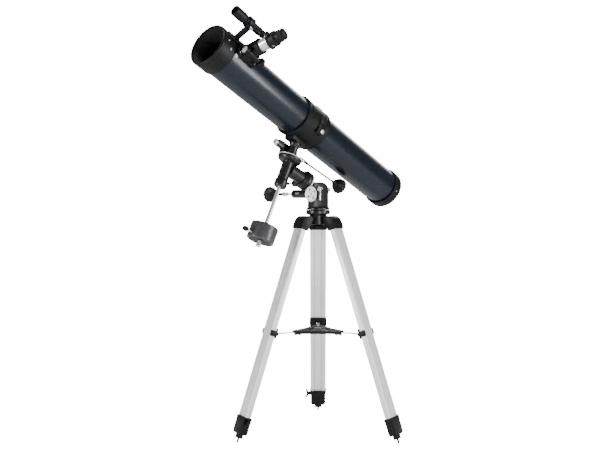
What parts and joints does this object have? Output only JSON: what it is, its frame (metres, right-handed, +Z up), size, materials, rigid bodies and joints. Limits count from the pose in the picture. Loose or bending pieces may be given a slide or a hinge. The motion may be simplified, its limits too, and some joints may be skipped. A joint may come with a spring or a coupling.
{
  "type": "telescope on tripod",
  "caption": "Newtonian reflector telescope on a German equatorial mount with a counterweight, standing on a folding aluminium tripod with an accessory tray.",
  "frame": {"origin": "on the floor, under the middle of the telescope's box at rest", "axes": "+Z up; the rear leg points along +Y and the tube points up towards -X and -Y"},
  "size_m": [0.6378, 0.7212, 1.2514],
  "materials": {
    "navy_paint": "metallic gloss",
    "black_plastic": "moulded satin",
    "black_paint": "satin",
    "weight_paint": "hammered satin",
    "aluminium": "anodised satin",
    "chrome": "polished",
    "mirror_glass": "aluminised"
  },
  "bodies": {
    "tripod_head": {"tripod_hub": "black_paint"},
    "azimuth_bolt": {"azimuth_bolt": "black_plastic"},
    "leg_1_upper": {"leg_1_top": "black_plastic", "leg_1_outer": "aluminium", "leg_1_clamp": "black_plastic", "leg_1_brace_bracket": "black_plastic"},
    "leg_1_lower": {"leg_1_inner": "aluminium"},
    "leg_1_lock": {"leg_1_lock_screw": "black_plastic"},
    "brace_1": {"brace_arm_1": "chrome"},
    "leg_2_upper": {"leg_2_top": "black_plastic", "leg_2_outer": "aluminium", "leg_2_clamp": "black_plastic", "leg_2_brace_bracket": "black_plastic"},
    "leg_2_lower": {"leg_2_inner": "aluminium"},
    "leg_2_lock": {"leg_2_lock_screw": "black_plastic"},
    "brace_2": {"brace_arm_2": "chrome"},
    "leg_3_upper": {"leg_3_top": "black_plastic", "leg_3_outer": "aluminium", "leg_3_clamp": "black_plastic", "leg_3_brace_bracket": "black_plastic"},
    "leg_3_lower": {"leg_3_inner": "aluminium"},
    "leg_3_lock": {"leg_3_lock_screw": "black_plastic"},
    "brace_3": {"brace_arm_3": "chrome"},
    "tray": {"accessory_tray": "black_plastic"},
    "azimuth_head": {"azimuth_pillar": "black_paint"},
    "latitude_screw": {"latitude_screw": "chrome"},
    "latitude_handle": {"latitude_handle": "chrome"},
    "polar_head": {"polar_housing": "black_paint", "ra_setting_circle": "aluminium", "ra_worm_case": "black_paint", "ra_worm_cover": "aluminium"},
    "ra_worm": {"ra_worm": "chrome", "ra_slow_control": "black_plastic"},
    "ra_clamp": {"ra_clamp_screw": "black_plastic"},
    "ra_head": {"dec_housing": "black_paint", "dec_setting_circle": "aluminium", "dec_worm_case": "black_paint", "counterweight_rod": "chrome"},
    "counterweight": {"counterweight": "weight_paint"},
    "counterweight_screw": {"counterweight_screw": "black_plastic"},
    "dec_head": {"dec_axle": "black_paint", "cradle_lower": "black_plastic"},
    "dec_worm": {"dec_worm": "chrome", "dec_slow_control": "black_plastic"},
    "cradle_upper": {"cradle_upper": "black_plastic"},
    "cradle_latch": {"cradle_latch_screw": "chrome"},
    "tube": {"main_tube": "navy_paint", "front_ring": "black_plastic", "mirror_cell": "black_plastic", "primary_mirror": "mirror_glass", "secondary_spider": "black_paint", "secondary_mirror": "mirror_glass", "focuser_body": "black_plastic", "finder_bracket": "black_plastic"},
    "draw_tube": {"draw_tube": "chrome"},
    "focus_knobs": {"focus_knobs": "black_plastic"},
    "eyepiece": {"eyepiece": "black_plastic"},
    "eyepiece_screw": {"eyepiece_screw": "black_plastic"},
    "finder": {"finder_scope": "black_paint"},
    "finder_screw": {"finder_screw": "chrome"}
  },
  "joints": [
    {"name": "azimuth_bolt_turn", "type": "hinge", "parent": "tripod_head", "child": "azimuth_bolt", "pos_m": [0.03551, 0.04161, 0.00036], "axis": [0, 0, 1], "range_deg": [0, 180]},
    {"name": "leg_1_fold", "type": "hinge", "parent": "tripod_head", "child": "leg_1_upper", "pos_m": [-0.0026, 0.01962, 0.67236], "axis": [0.5, -0.866, 0], "range_deg": [0, 9]},
    {"name": "leg_1_extend", "type": "slide", "parent": "leg_1_upper", "child": "leg_1_lower", "axis": [-0.2762, -0.1595, -0.9478], "range_m": [0, 0.42]},
    {"name": "leg_1_lock_turn", "type": "hinge", "parent": "leg_1_upper", "child": "leg_1_lock", "pos_m": [-0.17431, -0.11359, 0.06481], "axis": [0.5, -0.866, 0], "range_deg": [0, 180]},
    {"name": "brace_1_swing", "type": "hinge", "parent": "leg_1_upper", "child": "brace_1", "pos_m": [-0.0953, -0.03391, 0.32066], "axis": [0.5, -0.866, 0], "range_deg": [-72, 0]},
    {"name": "leg_2_fold", "type": "hinge", "parent": "tripod_head", "child": "leg_2_upper", "pos_m": [0.07361, 0.01962, 0.67236], "axis": [0.5, 0.866, 0], "range_deg": [0, 9]},
    {"name": "leg_2_extend", "type": "slide", "parent": "leg_2_upper", "child": "leg_2_lower", "axis": [0.2762, -0.1595, -0.9478], "range_m": [0, 0.42]},
    {"name": "leg_2_lock_turn", "type": "hinge", "parent": "leg_2_upper", "child": "leg_2_lock", "pos_m": [0.27483, -0.06249, 0.06481], "axis": [0.5, 0.866, 0], "range_deg": [0, 180]},
    {"name": "brace_2_swing", "type": "hinge", "parent": "leg_2_upper", "child": "brace_2", "pos_m": [0.16631, -0.03391, 0.32066], "axis": [0.5, 0.866, 0], "range_deg": [-72, 0]},
    {"name": "leg_3_fold", "type": "hinge", "parent": "tripod_head", "child": "leg_3_upper", "pos_m": [0.03551, 0.08561, 0.67236], "axis": [-1, 0, 0], "range_deg": [0, 9]},
    {"name": "leg_3_extend", "type": "slide", "parent": "leg_3_upper", "child": "leg_3_lower", "axis": [0, 0.319, -0.9478], "range_m": [0, 0.42]},
    {"name": "leg_3_lock_turn", "type": "hinge", "parent": "leg_3_upper", "child": "leg_3_lock", "pos_m": [0.00601, 0.30092, 0.06481], "axis": [-1, 0, 0], "range_deg": [0, 180]},
    {"name": "brace_3_swing", "type": "hinge", "parent": "leg_3_upper", "child": "brace_3", "pos_m": [0.03551, 0.19266, 0.32066], "axis": [-1, 0, 0], "range_deg": [-72, 0]},
    {"name": "tray_lift", "type": "slide", "parent": "tripod_head", "child": "tray", "axis": [0, 0, 1], "range_m": [0, 0.06]},
    {"name": "azimuth", "type": "hinge", "parent": "tripod_head", "child": "azimuth_head", "pos_m": [0.03551, 0.04161, 0.00036], "axis": [0, 0, 1], "continuous": true},
    {"name": "latitude_screw_turn", "type": "hinge", "parent": "azimuth_head", "child": "latitude_screw", "pos_m": [0.03551, 0.04161, 0.76386], "axis": [-0.7242, -0.6896, 0], "range_deg": [0, 180]},
    {"name": "latitude_handle_turn", "type": "hinge", "parent": "azimuth_head", "child": "latitude_handle", "pos_m": [0.02537, 0.03196, 0.76686], "axis": [0.6896, -0.7242, 0], "range_deg": [0, 120]},
    {"name": "latitude", "type": "hinge", "parent": "azimuth_head", "child": "polar_head", "pos_m": [0.02537, 0.03196, 0.76686], "axis": [-0.6896, 0.7242, 0], "range_deg": [-20, 30]},
    {"name": "ra_worm_turn", "type": "hinge", "parent": "polar_head", "child": "ra_worm", "pos_m": [-0.00687, 0.00126, 0.75027], "axis": [0.6896, -0.7242, 0], "continuous": true},
    {"name": "ra_clamp_turn", "type": "hinge", "parent": "polar_head", "child": "ra_clamp", "pos_m": [-0.04048, 0.02504, 0.7833], "axis": [0.6896, -0.7242, 0], "range_deg": [0, 180]},
    {"name": "right_ascension", "type": "hinge", "parent": "polar_head", "child": "ra_head", "pos_m": [-0.06037, -0.04969, 0.82843], "axis": [-0.6523, -0.6211, 0.4344], "range_deg": [-90, 60]},
    {"name": "counterweight_slide", "type": "slide", "parent": "ra_head", "child": "counterweight", "axis": [0.3146, 0.2996, 0.9007], "range_m": [-0.008, 0.11]},
    {"name": "counterweight_screw_turn", "type": "hinge", "parent": "counterweight", "child": "counterweight_screw", "pos_m": [-0.13321, -0.11905, 0.61992], "axis": [-0.6523, -0.6211, 0.4344], "range_deg": [0, 180]},
    {"name": "declination", "type": "hinge", "parent": "ra_head", "child": "dec_head", "pos_m": [-0.06037, -0.04969, 0.82843], "axis": [0.3146, 0.2996, 0.9007], "continuous": true},
    {"name": "dec_worm_turn", "type": "hinge", "parent": "ra_head", "child": "dec_worm", "pos_m": [-0.05886, -0.01097, 0.88607], "axis": [-0.6523, -0.6211, 0.4344], "continuous": true},
    {"name": "cradle_open", "type": "hinge", "parent": "dec_head", "child": "cradle_upper", "pos_m": [-0.06231, 0.04442, 0.97266], "axis": [-0.5961, -0.676, 0.4331], "range_deg": [0, 80]},
    {"name": "cradle_latch_turn", "type": "hinge", "parent": "dec_head", "child": "cradle_latch", "pos_m": [-0.00796, 0.00217, 0.93997], "axis": [0.7387, -0.6732, -0.0341], "range_deg": [0, 180]},
    {"name": "tube_slide", "type": "slide", "parent": "dec_head", "child": "tube", "axis": [-0.5961, -0.676, 0.4331], "range_m": [-0.1, 0.1]},
    {"name": "focus_travel", "type": "slide", "parent": "tube", "child": "draw_tube", "axis": [0.8029, -0.5026, 0.3206], "range_m": [-0.02, 0.035]},
    {"name": "focus_knob_turn", "type": "hinge", "parent": "tube", "child": "focus_knobs", "pos_m": [-0.1441, -0.28467, 1.12682], "axis": [-0.5961, -0.676, 0.4331], "continuous": true},
    {"name": "eyepiece_pull", "type": "slide", "parent": "draw_tube", "child": "eyepiece", "axis": [0.8029, -0.5026, 0.3206], "range_m": [0, 0.03]},
    {"name": "eyepiece_screw_turn", "type": "hinge", "parent": "draw_tube", "child": "eyepiece_screw", "pos_m": [-0.08466, -0.31093, 1.16765], "axis": [-0.5961, -0.676, 0.4331], "range_deg": [0, 180]},
    {"name": "finder_tilt", "type": "hinge", "parent": "tube", "child": "finder", "pos_m": [-0.1526, -0.31051, 1.21331], "axis": [0.2472, -0.6678, -0.7021], "range_deg": [-2, 2]},
    {"name": "finder_screw_turn", "type": "hinge", "parent": "tube", "child": "finder_screw", "pos_m": [-0.1526, -0.31051, 1.21331], "axis": [0.2472, -0.6678, -0.7021], "range_deg": [0, 180]}
  ],
  "couplings": [
    {"joint": "leg_2_fold", "follows": "leg_1_fold", "ratio": 1},
    {"joint": "leg_3_fold", "follows": "leg_1_fold", "ratio": 1},
    {"joint": "brace_1_swing", "follows": "leg_1_fold", "ratio": -8},
    {"joint": "brace_2_swing", "follows": "leg_1_fold", "ratio": -8},
    {"joint": "brace_3_swing", "follows": "leg_1_fold", "ratio": -8},
    {"joint": "tray_lift", "follows": "leg_1_fold", "m_per_rad": 0.38},
    {"joint": "ra_worm_turn", "follows": "right_ascension", "ratio": 100},
    {"joint": "dec_worm_turn", "follows": "declination", "ratio": 100},
    {"joint": "focus_knob_turn", "follows": "focus_travel", "rad_per_m": 166.67}
  ]
}
